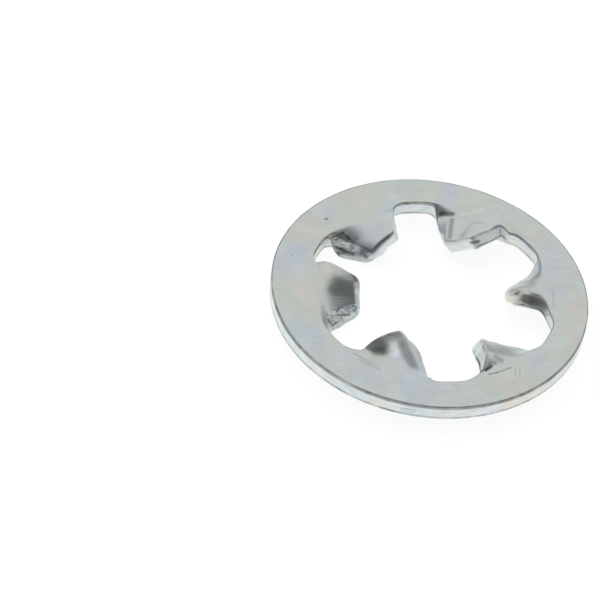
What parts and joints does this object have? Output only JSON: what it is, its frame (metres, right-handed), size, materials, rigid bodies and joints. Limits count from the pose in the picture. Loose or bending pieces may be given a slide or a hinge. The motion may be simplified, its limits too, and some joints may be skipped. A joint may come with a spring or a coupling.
{
  "type": "toothed lock washer",
  "caption": "Internal-tooth lock washer: a flat zinc-plated spring-steel ring whose inward teeth are twisted to bite the screw head and the work.",
  "frame": {"origin": "on the axis of the screw hole, half way through the sheet of the flat ring", "axes": "+Z along the screw's axis, square to the flat ring; +X along one tooth's centre line, pointing out through its root"},
  "size_m": [0.0086, 0.0086, 0.0012],
  "materials": {
    "zinc_plated_steel": "bright zinc plate with a clear blue-grey passivation on stamped spring steel"
  },
  "bodies": {
    "root": {"lock_washer": "zinc_plated_steel"}
  },
  "joints": []
}
